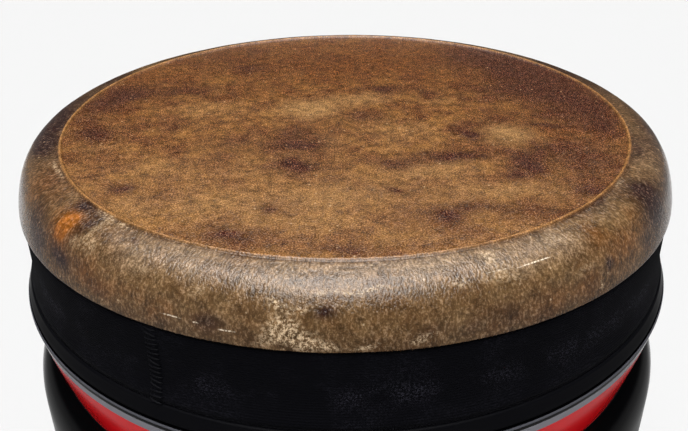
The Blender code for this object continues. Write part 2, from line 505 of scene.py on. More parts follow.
@dataclass(frozen=True)
class RawhideFinish(Finish):
    """Thick cow hide, limed, scraped, stretched wet and smoked.

    The eye sees warm brown mottled with purple-brown stains and tan patches, a fine pebbled
    grain that glints, a worn collar with grain drawn downwards, and cream chafing
    where the top layer is chafed. Painted light is part of the colour: paler grain tips and pale
    specks are partly painted glints, the collar's greyer upper slope is partly dust and partly
    painted sheen, a painted highlight runs along the ridge with painted shade in the crease
    beside it and towards the collar's lower edge, and the face is partly painted lighter at
    the front and darker at the back.
    """

    LABEL = "smoked_rawhide"
    brown: str = "#532d14"
    light_brown: str = "#754f25"
    stain: str = "#2f0d0c"
    # Dark purple-grey for the collar: its real stains, and the painted shade at its lower edge.
    collar_stain_and_shade: str = "#291716"
    # Pale grey-tan for the collar: partly real dust, partly painted sheen on its upper slope and grain tips.
    dust_and_sheen: str = "#8e7963"
    # Paler tan for the face's grain tips: a painted glint.
    grain_glint: str = "#a8835f"
    pit: str = "#3a1403"
    collar_pit: str = "#2e1a0a"
    pale: str = "#8b683f"
    amber: str = "#6c3f16"
    golden: str = "#552c0c"
    orange: str = "#96581e"
    collar: str = "#5b4025"
    collar_light: str = "#745a3b"
    # Painted highlight along the ridge's crest.
    ridge: str = "#9c6f40"
    # Painted shade in the crease just outside the ridge.
    crease_shade: str = "#3d2416"
    cream: str = "#d8bc98"
    scratch: str = "#f2dfc4"
    flesh_side: str = "#b39a74"
    mottle_mm: float = 13.0
    patch_mm: float = 4.0
    grain_mm: float = 0.50
    pebble_mm: float = 1.8
    streak_mm: float = 0.75
    chafe_mm: float = 1.2
    fleck_mm: float = 2.4
    bead_mm: float = 0.8
    face_relief_mm: float = 0.30
    collar_relief_mm: float = 0.36
    face_roughness: float = 0.145
    collar_roughness: float = 0.17
    scratches: Tuple[Tuple[float, ...], ...] = (
        (-63.4, 121.9, 7.6, 0.30, 1.0, 0.85),
        (-69.0, 121.5, 5.6, 0.25, 0.0, 0.35),
        (-113.4, 135.0, 4.3, 0.28, 0.0, 0.7),
        (-109.7, 135.3, 1.3, 0.30, 0.0, 0.9),
        (-105.4, 136.0, 3.3, 0.30, 0.0, 0.95),
    )

    def dress(self, add: AddNode) -> Dict[str, Any]:
        """Paint the hide by the marks and zones in its mesh's attributes.

        Args:
            add: Adds a node to the material.

        Returns:
            The shader's inputs.
        """
        zones = ("collar_zone", "ridge_highlight_zone", "crease_shade_zone", "flesh_zone")
        stain, pale, amber, cream, collar, ridge, crease_shade, flesh = [
            add("ShaderNodeAttribute", attribute_name=name)["Fac"]
            for name in (*[kind.value for kind in MarkKind], *zones)
        ]
        flat, upright = [
            add("ShaderNodeAttribute", attribute_name=name)["Vector"]
            for name in ("flat_place", "upright_place")
        ]
        mottle, patch, grain, pebble, streak, torn, bead = [
            add(NOISE, {"Vector": place, "Scale": 1 / (width * MM), "Detail": detail, "Roughness": rough})[0]
            for place, width, detail, rough in (
                (flat, self.mottle_mm, 4.0, 0.6), (flat, self.patch_mm, 4.0, 0.65),
                (flat, self.grain_mm, 1.0, 0.5), (flat, self.pebble_mm, 2.0, 0.5),
                (upright, self.streak_mm, 2.0, 0.6), (flat, self.chafe_mm, 4.0, 0.8),
                (flat, self.bead_mm, 1.0, 0.5),
            )
        ]
        reliefs = []
        for coarse, fine, part in ((grain, pebble, 0.25), (streak, grain, 0.3)):
            total = add(MATH, {0: fine, 1: part, 2: coarse}, operation="MULTIPLY_ADD")[0]
            reliefs.append(add(MATH, {0: total, 1: 1 + part}, operation="DIVIDE")[0])
        relief = add(MIX, {0: collar, 2: reliefs[0], 3: reliefs[1]}, data_type="FLOAT")[0]
        down = add("ShaderNodeSeparateXYZ", {0: upright})["Z"]
        (face_tone, collar_tone, ember, low_edge_shade, sunk, high, more, speckle, chafe, beads, rough, depth) = [
            add(RANGE, dict(enumerate(span)))[0]
            for span in (
                (mottle, 0.39, 0.61), (mottle, 0.35, 0.66), (amber, 0.78, 0.95),
                (down, 0.0790, 0.0832, 0.0, 0.32), (relief, 0.34, 0.52, 0.50, 0.05), (relief, 0.51, 0.68),
                (collar, 0.0, 1.0, 1.25, 1.0), (patch, 0.25, 0.75), (torn, 0.48, 0.57), (bead, 0.46, 0.56),
                (collar, 0.0, 1.0, self.face_roughness, self.collar_roughness),
                (collar, 0.0, 1.0, self.face_relief_mm * MM, self.collar_relief_mm * MM),
            )
        ]

        face = coats(add, self.brown, [
            (face_tone, self.light_brown),
            (self._worn(add, amber, patch, 0.2), self.golden),
            (self._worn(add, pale, patch, 0.35), self.pale),
        ])
        ember = add(MATH, {0: ember, 1: patch}, operation="MULTIPLY")[0]
        ember = add(MATH, {0: ember, 1: 1.7}, operation="MULTIPLY", use_clamp=True)[0]
        # Dust coat on the collar: partly real dust and partly painted sheen where the pale marks lie on the
        # upper slope.
        dust_and_sheen_mask = self._worn(add, pale, patch, 0.3)
        dust_and_sheen_mask = add(MATH, {0: grain, 1: 0.6, 2: dust_and_sheen_mask}, operation="MULTIPLY_ADD")[0]
        dust_and_sheen_mask = add(RANGE, {0: dust_and_sheen_mask, 1: 0.40, 2: 1.50})[0]
        side = coats(add, self.collar, [
            (collar_tone, self.collar_light),
            (self._worn(add, amber, patch, 0.3), self.amber),
            (ember, self.orange),
            (dust_and_sheen_mask, self.dust_and_sheen),
        ])
        soaked = add(MATH, {0: grain, 1: 0.35, 2: stain}, operation="MULTIPLY_ADD")[0]
        soaked = add(MATH, {0: soaked, 1: 0.175}, operation="SUBTRACT")[0]
        # Painted glints: the raised grain peaks are lightened and turned paler, standing for the sparkle of the
        # glossy pebbled grain.
        high = add(MATH, {0: high, 1: more}, operation="MULTIPLY")[0]
        shade = add(MATH, {0: high, 1: 1.0}, operation="ADD")[0]
        glint_tips = add(MATH, {0: high, 1: 0.42}, operation="MULTIPLY", use_clamp=True)[0]
        rub_wear_and_highlight = add(MATH, {0: patch, 1: 0.75, 2: cream}, operation="MULTIPLY_ADD")[0]
        rub_wear_and_highlight = add(RANGE, {0: rub_wear_and_highlight, 1: 0.64, 2: 1.12})[0]
        rub_wear_and_highlight = add(MATH, {0: rub_wear_and_highlight, 1: chafe}, operation="MULTIPLY")[0]
        soot, pits, glint_paint = [
            coats(add, on_face, [(collar, on_collar)])
            for on_face, on_collar in (
                (self.stain, self.collar_stain_and_shade), (self.pit, self.collar_pit), (self.grain_glint, self.dust_and_sheen)
            )
        ]
        colour = coats(add, face, [
            (collar, side),
            (self._worn(add, soaked, patch, 0.45, 0.78), soot),
            # Painted shade in the crease just outside the ridge.
            (crease_shade, self.crease_shade),
            # Painted shade darkening the collar towards its lower edge.
            (low_edge_shade, self.collar_stain_and_shade),
            # Painted highlight along the ridge's crest.
            (ridge, self.ridge),
            (sunk, pits),
            (1.0, shade, "MULTIPLY"),
            (glint_tips, glint_paint),
            (0.62, speckle, "OVERLAY"),
            (rub_wear_and_highlight, self.cream),
            (self._flecks(add, flat), self.cream),
            *[(self._scratch(add, flat, beads, line), self.scratch) for line in self.scratches],
            (flesh, self.flesh_side),
        ])
        rough = add(MATH, {0: patch, 1: 0.10, 2: rough}, operation="MULTIPLY_ADD")[0]
        rough = add(MATH, {0: rough, 1: 0.05}, operation="SUBTRACT")[0]
        bump = add("ShaderNodeBump", {"Strength": 1.0, "Distance": depth, "Height": relief})[0]
        return {"Base Color": colour, "Roughness": rough, "Specular IOR Level": 0.5, "Normal": bump}

    def _flecks(self, add: AddNode, flat: Any) -> Any:
        """Sparse pale specks: partly single pores torn open, partly painted glints.

        Args:
            add: Adds a node to the material.
            flat: The unrolled place on the hide.

        Returns:
            The specks' strength.
        """
        cells = add(
            "ShaderNodeTexVoronoi", {"Vector": flat, "Scale": 1 / (self.fleck_mm * MM), "Randomness": 1.0}
        )
        dot = add(RANGE, {0: cells["Distance"], 1: 0.18, 2: 0.07})[0]
        chosen = add("ShaderNodeSeparateColor", {0: cells["Color"]})[0]
        chosen = add(RANGE, {0: chosen, 1: 0.82, 2: 0.96, 4: 0.6})[0]
        return add(MATH, {0: dot, 1: chosen}, operation="MULTIPLY")[0]

    @staticmethod
    def _scratch(add: AddNode, flat: Any, beads: Any, line: Tuple[float, ...]) -> Any:
        """Strength of one scratch, broken into beads along its length.

        Args:
            add: Adds a node to the material.
            flat: The unrolled place on the hide.
            beads: The fine noise that breaks the line.
            line: Azimuth, run in millimetres, half length, half width, slant and strength.

        Returns:
            The scratch's strength.
        """
        azimuth, run, half_length, half_width, slant, strength = line
        turn = math.radians(azimuth)
        local = add(
            "ShaderNodeMapping",
            {
                "Vector": flat,
                "Location": (run * MM * math.cos(turn), run * MM * math.sin(turn), 0.0),
                "Rotation": (0.0, 0.0, turn + math.pi / 2 + math.radians(slant)),
                "Scale": (half_length * MM, half_width * MM, 1.0),
            },
            vector_type="TEXTURE",
        )[0]
        distance = add("ShaderNodeVectorMath", {0: local}, operation="LENGTH")["Value"]
        solid = add(RANGE, {0: distance, 1: 1.0, 2: 0.5, 4: strength})[0]
        kept = add(MATH, {0: beads, 1: 0.9, 2: 0.2}, operation="MULTIPLY_ADD")[0]
        return add(MATH, {0: kept, 1: solid}, operation="MULTIPLY", use_clamp=True)[0]

    @staticmethod
    def _worn(add: AddNode, mark: Any, noise: Any, ragged: float, full: float = 0.94) -> Any:
        """A mark's strength with its edge made ragged by a noise.

        Args:
            add: Adds a node to the material.
            mark: The mark.
            noise: The noise.
            ragged: The noise's share.
            full: The strength at which the mark reaches its full depth.

        Returns:
            The mark's new strength.
        """
        moved = add(MATH, {0: noise, 1: ragged, 2: mark}, operation="MULTIPLY_ADD")[0]
        return add(RANGE, {0: moved, 1: 0.08 + ragged / 2, 2: full + ragged / 2})[0]


@dataclass(frozen=True)
class StretchKnitFinish(Finish):
    """Black polyester and elastane rib knit.

    The eye sees a matte near-black cloth with a cool tint, upright ribs and a small
    crosswise step at each course of loops.
    """

    LABEL = "stretch_knit"
    yarn: str = "#09090d"
    # Lighter yarn where loops catch the light: a painted sheen.
    sheen_yarn: str = "#2b2a32"
    course_mm: float = 0.9
    lane_z: float = 0.2385
    lane_half: float = 0.0065
    hem_z: float = 0.2264
    hem_highlight_band: float = 0.0007
    roughness: float = 0.95

    def dress(self, add: AddNode) -> Dict[str, Any]:
        """Draw the loops that catch the light as lighter yarn, a painted sheen, most of them in a lane round
        the band, and a painted highlight along the hem.

        Args:
            add: Adds a node to the material.

        Returns:
            The shader's inputs.
        """
        place = add("ShaderNodeTexCoord")["Object"]
        height = add("ShaderNodeSeparateXYZ", {0: place})["Z"]
        phase = add(MATH, {0: height, 1: 2 * math.pi / (self.course_mm * MM)}, operation="MULTIPLY")[0]
        course = add(MATH, {0: phase}, operation="SINE")[0]
        fuzz = add(NOISE, {"Vector": place, "Scale": 1500.0, "Detail": 2.0, "Roughness": 0.7})[0]
        patch = add(NOISE, {"Vector": place, "Scale": 60.0, "Detail": 3.0})[0]
        loops = add(RANGE, {0: fuzz, 1: 0.50, 2: 0.60})[0]
        share = add(RANGE, {0: patch, 1: 0.44, 2: 0.58})[0]
        share = add(MATH, {0: loops, 1: share}, operation="MULTIPLY")[0]
        lane = add(MATH, {0: height, 1: self.lane_z}, operation="SUBTRACT")[0]
        lane = add(MATH, {0: lane}, operation="ABSOLUTE")[0]
        lane = add(
            RANGE, {0: lane, 1: 0.0, 2: self.lane_half, 3: 0.85, 4: 0.22}, interpolation_type="SMOOTHSTEP"
        )[0]
        share = add(MATH, {0: share, 1: lane}, operation="MULTIPLY")[0]
        # Painted highlight: a thin lighter line along the hem's edge.
        hem = add(RANGE, {0: height, 1: self.hem_z + self.hem_highlight_band, 2: self.hem_z, 3: 0.0, 4: 0.30})[0]
        share = add(MATH, {0: share, 1: hem}, operation="MAXIMUM")[0]
        relief = add(MATH, {0: fuzz, 1: 1.2, 2: course}, operation="MULTIPLY_ADD")[0]
        return {
            "Base Color": coats(add, self.yarn, [(share, self.sheen_yarn)]),
            "Roughness": self.roughness,
            "Specular IOR Level": 0.05,
            "Sheen Weight": 0.014,
            "Sheen Roughness": 0.35,
            "Normal": add("ShaderNodeBump", {"Strength": 0.5, "Distance": 0.00012, "Height": relief})[0],
        }


@dataclass(frozen=True)
class ThreadFinish(Finish):
    """Black polyester overlock thread: a fine, slightly shiny twisted yarn."""

    LABEL = "overlock_thread"
    colour: str = "#060609"
    light: str = "#0f0f14"
    roughness: float = 0.6

    def dress(self, add: AddNode) -> Dict[str, Any]:
        """Draw the yarn's twist.

        Args:
            add: Adds a node to the material.

        Returns:
            The shader's inputs.
        """
        place = add("ShaderNodeTexCoord")["Object"]
        twist = add(NOISE, {"Vector": place, "Scale": 2600.0, "Detail": 1.0})[0]
        return {
            "Base Color": coats(add, self.colour, [(twist, self.light)]),
            "Roughness": self.roughness,
            "Specular IOR Level": 0.12,
            "Normal": add("ShaderNodeBump", {"Strength": 0.4, "Distance": 0.0001, "Height": twist})[0],
        }


@dataclass(frozen=True)
class SatinPlasticFinish(Finish):
    """Black moulded ABS with a fine spark-eroded texture, which blurs its highlights."""

    LABEL = "satin_moulded_abs"
    colour: str = "#08080c"
    hazed: str = "#0e0e10"
    roughness: float = 0.42
    texture_mm: float = 0.35

    def dress(self, add: AddNode) -> Dict[str, Any]:
        """Draw the fine texture and a slow change of gloss.

        Args:
            add: Adds a node to the material.

        Returns:
            The shader's inputs.
        """
        place = add("ShaderNodeTexCoord")["Object"]
        fine = add(NOISE, {"Vector": place, "Scale": 1 / (self.texture_mm * MM), "Detail": 1.0})[0]
        wide = add(NOISE, {"Vector": place, "Scale": 45.0, "Detail": 3.0})[0]
        spread = {0: wide, 1: 0.3, 2: 0.7, 3: self.roughness - 0.05, 4: self.roughness + 0.07}
        return {
            "Base Color": coats(add, self.colour, [(wide, self.hazed)]),
            "Roughness": add(RANGE, spread)[0],
            "Specular IOR Level": 0.04,
            "Normal": add("ShaderNodeBump", {"Strength": 0.12, "Distance": 0.00003, "Height": fine})[0],
        }


@dataclass(frozen=True)
class GlossPlasticFinish(Finish):
    """Black moulded ABS, polished, with a sprayed red stripe on the neck and a grey stripe above it that is
    partly sprayed grey paint and partly a painted reflection, and a painted highlight on the lip's rounded
    edge.

    The eye sees mirror-like grey edges on a deep black, and crisp stripe borders.
    """

    LABEL = "gloss_moulded_abs"
    black: str = "#040405"
    # Grey stripe: partly sprayed paint, partly a painted reflection that keeps it bright.
    grey: str = "#828087"
    red: str = "#dc121a"
    # Lighter grey on the lip's rounded top edge: a painted highlight.
    rub_wear_and_highlight: str = "#4c4c52"
    roughness: float = 0.13
    inside_roughness: float = 0.5
    grey_top: float = 0.2179
    red_top: float = 0.2141
    red_bottom: float = 0.1917
    highlight_top: float = 0.22004
    highlight_bottom: float = 0.2194
    skin_radius: float = 0.1225

    def dress(self, add: AddNode) -> Dict[str, Any]:
        """Spray the stripes on the outer skin, paint a highlight line on the lip's edge and dull the inside.

        Args:
            add: Adds a node to the material.

        Returns:
            The shader's inputs.
        """
        place = add("ShaderNodeTexCoord")["Object"]
        parts = add("ShaderNodeSeparateXYZ", {0: place})
        level = add("ShaderNodeCombineXYZ", {0: parts["X"], 1: parts["Y"]})[0]
        radius = add("ShaderNodeVectorMath", {0: level}, operation="LENGTH")["Value"]
        outside = add(MATH, {0: radius, 1: self.skin_radius}, operation="GREATER_THAN")[0]
        stripes = []
        for bottom, top, paint in (
            (self.red_bottom, self.red_top, self.red),
            (self.red_top, self.grey_top, self.grey),
            # Painted highlight: a thin lighter line on the lip's rounded top edge.
            (self.highlight_bottom, self.highlight_top, self.rub_wear_and_highlight),
        ):
            above = add(MATH, {0: parts["Z"], 1: bottom}, operation="GREATER_THAN")[0]
            below = add(MATH, {0: parts["Z"], 1: top}, operation="LESS_THAN")[0]
            within = add(MATH, {0: above, 1: below}, operation="MULTIPLY")[0]
            stripes.append((add(MATH, {0: within, 1: outside}, operation="MULTIPLY")[0], paint))
        smear = add(NOISE, {"Vector": place, "Scale": 35.0, "Detail": 4.0})[0]
        wear = add(RANGE, {0: smear, 1: 0.35, 2: 0.7, 3: self.roughness, 4: self.roughness + 0.06})[0]
        ripple = add(NOISE, {"Vector": place, "Scale": 70.0, "Detail": 1.0})[0]
        return {
            "Base Color": coats(add, self.black, stripes),
            "Roughness": add(MIX, {0: outside, 2: self.inside_roughness, 3: wear}, data_type="FLOAT")[0],
            "Specular IOR Level": 0.18,
            "Normal": add("ShaderNodeBump", {"Strength": 0.06, "Distance": 0.0002, "Height": ripple})[0],
        }


@dataclass(frozen=True)
class StudioPaperFinish(Finish):
    """White paper lit from behind near the drum, so it stays even and pale under soft light."""

    LABEL = "studio_paper"
    paper: str = "#9c9c9c"
    colour: str = "#ffffff"
    glow: float = 0.35
    lit_middle: Tuple[float, float, float] = (0.0, 0.65, 0.0)
    lit_radius: float = 1.0
    dim_radius: float = 1.7
    roughness: float = 0.95

    def dress(self, add: AddNode) -> Dict[str, Any]:
        """Let the paper glow near the drum and draw its fibres.

        Args:
            add: Adds a node to the material.

        Returns:
            The shader's inputs.
        """
        place = add("ShaderNodeTexCoord")["Object"]
        away = add("ShaderNodeVectorMath", {0: place, 1: self.lit_middle}, operation="DISTANCE")["Value"]
        fade = {0: away, 1: self.lit_radius, 2: self.dim_radius, 3: self.glow, 4: 0.0}
        fibre = add(NOISE, {"Vector": place, "Scale": 900.0, "Detail": 2.0})[0]
        return {
            "Base Color": linear(self.paper),
            "Roughness": self.roughness,
            "Specular IOR Level": 0.0,
            "Emission Color": linear(self.colour),
            "Emission Strength": add(RANGE, fade, interpolation_type="SMOOTHSTEP")[0],
            "Normal": add("ShaderNodeBump", {"Strength": 0.03, "Distance": 0.0001, "Height": fibre})[0],
        }


# ---------------------------------------------------------------- marks

# On the playing face: middle x and y, half width and half height in mm, strength.
FACE_MARKS: Dict[MarkKind, Tuple[Mark, ...]] = {
    MarkKind.STAIN: (
        (-74, -63, 4, 2.7, 0.9), (-93, 26, 6.1, 6.3, 1), (-71, 30, 16.7, 6.4, 0.6), (-96, -17, 9.3, 6.1, 0.8),
        (-103, 7, 5.4, 10.5, 0.5), (-103, 17, 11.1, 7.3, 0.5), (-65, -10, 4.3, 4.1, 0.5),
        (-36, -96, 7.2, 4.2, 0.75), (0, -105, 10.4, 2.5, 0.65), (-24, -79, 4.1, 3, 0.75),
        (-17, -17, 7.7, 4.9, 0.45), (-15, -29, 7.8, 4.1, 0.9), (-16, -47, 7.4, 4.1, 0.9),
        (-4, -59, 5.1, 2.7, 0.4), (1, -44, 5.7, 2.5, 0.3), (8, -3, 10.4, 4.8, 0.6), (18, 30, 4.8, 3.8, 1),
        (35, 25, 4.7, 5.5, 0.45), (-44, 61, 8.5, 4.4, 0.65), (-44, 87, 6.5, 5, 0.4), (-67, 81, 10.9, 8.1, 0.35),
        (18, -47, 5.6, 3.3, 0.55), (24, -45, 7.8, 2.5, 0.35), (15, -67, 2.6, 2.5, 0.8),
        (24, -69, 9.8, 2.9, 0.35), (31, -85, 3.4, 3.2, 1), (29, -87, 7.4, 5.1, 0.45), (48, -21, 4.2, 5.8, 1),
        (54, -8, 5.9, 4.2, 0.45), (40, -40, 11.5, 3.9, 0.85), (39, -80, 4.1, 2.7, 0.5), (49, -80, 16.4, 3, 0.5),
        (58, -56, 2.4, 2.4, 0.9), (65, -49, 3.8, 4.6, 1), (77, 80, 10.7, 6.5, 0.9), (84, 61, 15.9, 9.7, 1),
        (91, 49, 7.7, 5.7, 0.75), (76, 27, 22.4, 11.4, 0.6), (92, 17, 9.2, 9.7, 0.55), (102, 7, 9.8, 11.6, 0.8),
        (102, -14, 5, 6.2, 0.75), (80, -4, 11.9, 6.5, 0.45), (79, -13, 7, 1.6, 0.7), (70, -33, 0.8, 8.2, 0.7),
        (79, -36, 15.2, 10.8, 0.45), (86, -49, 13.9, 11.8, 0.5), (81, -68, 8.8, 5.2, 0.65),
        (54, 72, 4.8, 6.2, 0.55), (41, 61, 6.1, 4.4, 0.35), (68, -84, 9.3, 4, 0.35), (-39, -28, 11.2, 5.5, 0.3),
        (-96, -37, 5.1, 7.3, 0.35), (89, -8, 1.6, 5.3, 0.5), (-7, 76, 12.7, 4.7, 0.25),
        (-42, -33, 16.6, 12.6, 0.18), (82, 60, 14, 24, 1), (70, 78, 16, 10, 0.5), (95, 40, 12, 20, 0.45),
        (60, 88, 18, 9, 0.35), (-98, 24, 8, 16, 0.35), (100, 0, 9, 34, 0.3), (-20, -22, 8, 7, 0.35),
        (-18, -45, 6, 7, 0.35), (-58, 74, 34, 22, 0.2), (66, -44, 4, 9, 0.45), (-35, -95, 9, 4, 0.35),
    ),
    MarkKind.PALE: (
        (-14, 8, 12.4, 10.2, 1), (2, 17, 11.8, 5.9, 0.45), (62, -21, 9.9, 9.7, 1), (12, 19, 11, 6, 0.5),
        (29, -53, 15.9, 6.4, 0.5), (38, -46, 5.6, 3.3, 0.7), (21, -16, 16.2, 10.9, 0.4), (-5, -27, 6, 7.4, 0.4),
        (-57, 8, 17.4, 9.1, 0.36), (-40, -76, 23.2, 8.2, 0.4), (-91, -30, 6.7, 3.8, 0.4),
        (52, -68, 20.4, 5.8, 0.5), (-1, -70, 18, 8.5, 0.4), (-68, -49, 21.1, 8.3, 0.3),
        (-14, -88, 15.4, 6.3, 0.3), (28, -99, 14.7, 3.5, 0.25), (-69, -75, 6.5, 5.6, 0.3),
        # The broad marks at (-10, -75) and (-35, -10) lighten the front half of the face: a painted sheen.
        (55, -94, 9, 4.9, 0.25), (40, 14, 7.5, 4.7, 0.35), (-10, -75, 95, 38, 0.36), (-35, -10, 55, 40, 0.12),
    ),
    MarkKind.AMBER: (
        (13, 62, 35.3, 17.6, 0.6), (-11, 46, 13.6, 10.9, 0.4), (96, 33, 7, 7.9, 0.7), (86, -19, 13.7, 5, 0.45),
        (-88, 51, 18.5, 8.5, 0.6), (-99, 11, 10.9, 7.1, 0.5), (-36, 23, 21.5, 7.3, 0.4),
        (29, 95, 30.4, 8.5, 0.4), (52, 41, 13.4, 10.7, 0.4), (23, -90, 18.3, 4.9, 0.25),
        # The broad mark at (0, 80) darkens and reddens the back half of the face: partly deeper hide colour,
        # partly painted shade.
        (-91, -45, 7.2, 6.9, 0.2), (0, 80, 100, 40, 0.6), (95, 0, 26, 50, 0.35), (-95, 20, 24, 40, 0.3),
    ),
    MarkKind.CREAM: (),
}

# On the collar: azimuth in degrees, run from the middle, half length round and down in mm, strength.
COLLAR_MARKS: Dict[MarkKind, Tuple[Mark, ...]] = {
    MarkKind.STAIN: (
        (-137.5, 114, 5.2, 3.6, 0.9), (-144.8, 128.5, 12, 8, 0.6), (-133.6, 118, 3, 7, 0.7),
        (-135.5, 131.4, 6, 4.5, 0.85), (-130.5, 131, 4, 3, 0.3), (-126.3, 133.4, 5, 3.5, 0.3),
        (-177, 117, 16, 8, 0.9), (-168, 118, 8, 6, 0.9), (-123.5, 116.1, 1.6, 1.6, 0.6),
        (-108.2, 135, 6, 3, 0.65), (-114.8, 137.4, 4, 2, 0.3), (-92.8, 129.6, 3.2, 2.2, 0.85),
        (-74.5, 135.7, 5, 2.5, 0.35), (-68.5, 134.4, 4, 2.5, 0.3), (-79.8, 135.9, 5, 2.5, 0.35),
        (-50.5, 131.4, 1.8, 2.8, 0.9), (-33.8, 119.3, 9, 7, 0.9), (-34, 129, 9, 8, 0.8), (-25, 127, 12, 8, 0.5),
        (-43, 112, 6, 2, 0.6), (-50.5, 111.8, 5, 1.2, 0.5), (-39.5, 132.7, 5, 5, 0.5), (-20, 113, 10, 3, 0.6),
        (-10, 120, 20, 9, 0.5), (20, 125, 18, 8, 0.5), (60, 118, 16, 7, 0.4), (95, 130, 14, 6, 0.5),
        (130, 122, 20, 7, 0.5), (155, 116, 12, 5, 0.6), (-158, 133, 12, 8, 0.55), (-143, 134, 9, 6, 0.55),
        (172, 124, 20, 12, 0.75), (-166, 114, 14, 7, 0.6), (-152, 116, 12, 6, 0.35), (-5, 130, 24, 10, 0.45),
        (-22, 134, 12, 8, 0.45), (30, 117, 26, 8, 0.6), (90, 116, 60, 6, 0.6), (150, 130, 30, 8, 0.5),
        (168, 113, 28, 6, 0.4), (14, 114, 30, 6, 0.45), (-44, 113, 14, 5, 0.35),
    ),
    MarkKind.PALE: (
        # The pale marks on the upper collar at the front, from azimuth -122 to -60, lay down the dust coat,
        # which there is partly painted sheen.
        (-18, 117, 26, 9, 0.35), (0, 133, 26, 6, 0.4), (-122, 118, 26, 8, 0.25), (-108, 116, 26, 7, 0.42),
        (-80, 115, 34, 6, 0.42), (-122, 122, 14, 6, 0.25), (175, 121, 18, 8, 0.3), (40, 120, 34, 8, 0.5),
        (100, 122, 50, 8, 0.4), (-155, 133, 20, 8, 0.5), (-60, 118, 17, 6.5, 0.5), (-86, 113, 32, 5, 0.5),
        (-38, 131, 14, 5, 0.25),
    ),
    MarkKind.AMBER: (
        (-137, 122.8, 6.4, 8, 1), (-137.5, 124, 8.5, 10, 0.5), (-151.5, 118, 14, 8, 0.55),
        (-127, 132.6, 15, 5, 0.6), (-115, 133.7, 6, 3, 0.3), (-45, 129.5, 14, 8, 0.55),
        (-50.8, 123.1, 7, 5, 0.35), (-60.8, 134.7, 14, 4, 0.4), (-55.2, 135.7, 6, 3, 0.4),
        (-146.8, 138, 6, 3, 0.4), (75, 124, 12, 6, 0.5), (115, 133, 10, 5, 0.4), (8, 132, 9, 5, 0.4),
    ),
    MarkKind.CREAM: (
        (-131.6, 117, 2, 8, 0.5), (-129.6, 124, 3, 5, 0.45), (-134, 112.5, 2.5, 2, 0.4),
        (-132.8, 111.5, 5, 1.5, 0.3), (-127.5, 112.8, 6, 2, 0.5), (-133, 124.1, 3, 3, 0.4),
        (-154, 113.1, 9, 1.5, 0.6), (-99.5, 126.6, 2.2, 1.6, 0.9), (-97.8, 127.4, 1.5, 1.5, 0.6),
        (-95.5, 126.8, 5, 1.8, 0.6), (-98.5, 132.6, 5.5, 3.6, 0.85), (-96.8, 136.8, 10, 3.2, 0.9),
        (-92, 138.6, 5, 1.2, 0.7), (-87.2, 137.9, 4, 1.4, 0.7), (-80.2, 137.9, 5, 1.6, 0.7),
        (-91, 127.6, 2, 1.4, 0.4), (-69.5, 116.6, 3, 3, 0.6), (-74.8, 121.6, 4, 2, 0.6),
        (-68.5, 123.1, 8, 4, 0.45), (-58.8, 116.6, 9, 4, 0.4), (-52, 136.7, 2.5, 1.5, 0.6),
        (-55.8, 130.4, 6, 2.5, 0.4), (-72.2, 135.7, 3, 1.5, 0.4), (-86.5, 122.9, 6, 1.2, 0.7),
        (-92.2, 123.1, 9, 1.2, 0.5), (-118.5, 123.6, 6, 3, 0.4), (-109.5, 125.3, 6, 3, 0.35),
        (-34.2, 111.5, 6, 1.5, 0.5), (35, 128, 8, 3, 0.5), (80, 134, 7, 3, 0.5), (140, 120, 9, 3, 0.4),
    ),
}


# ---------------------------------------------------------------- sub-assemblies


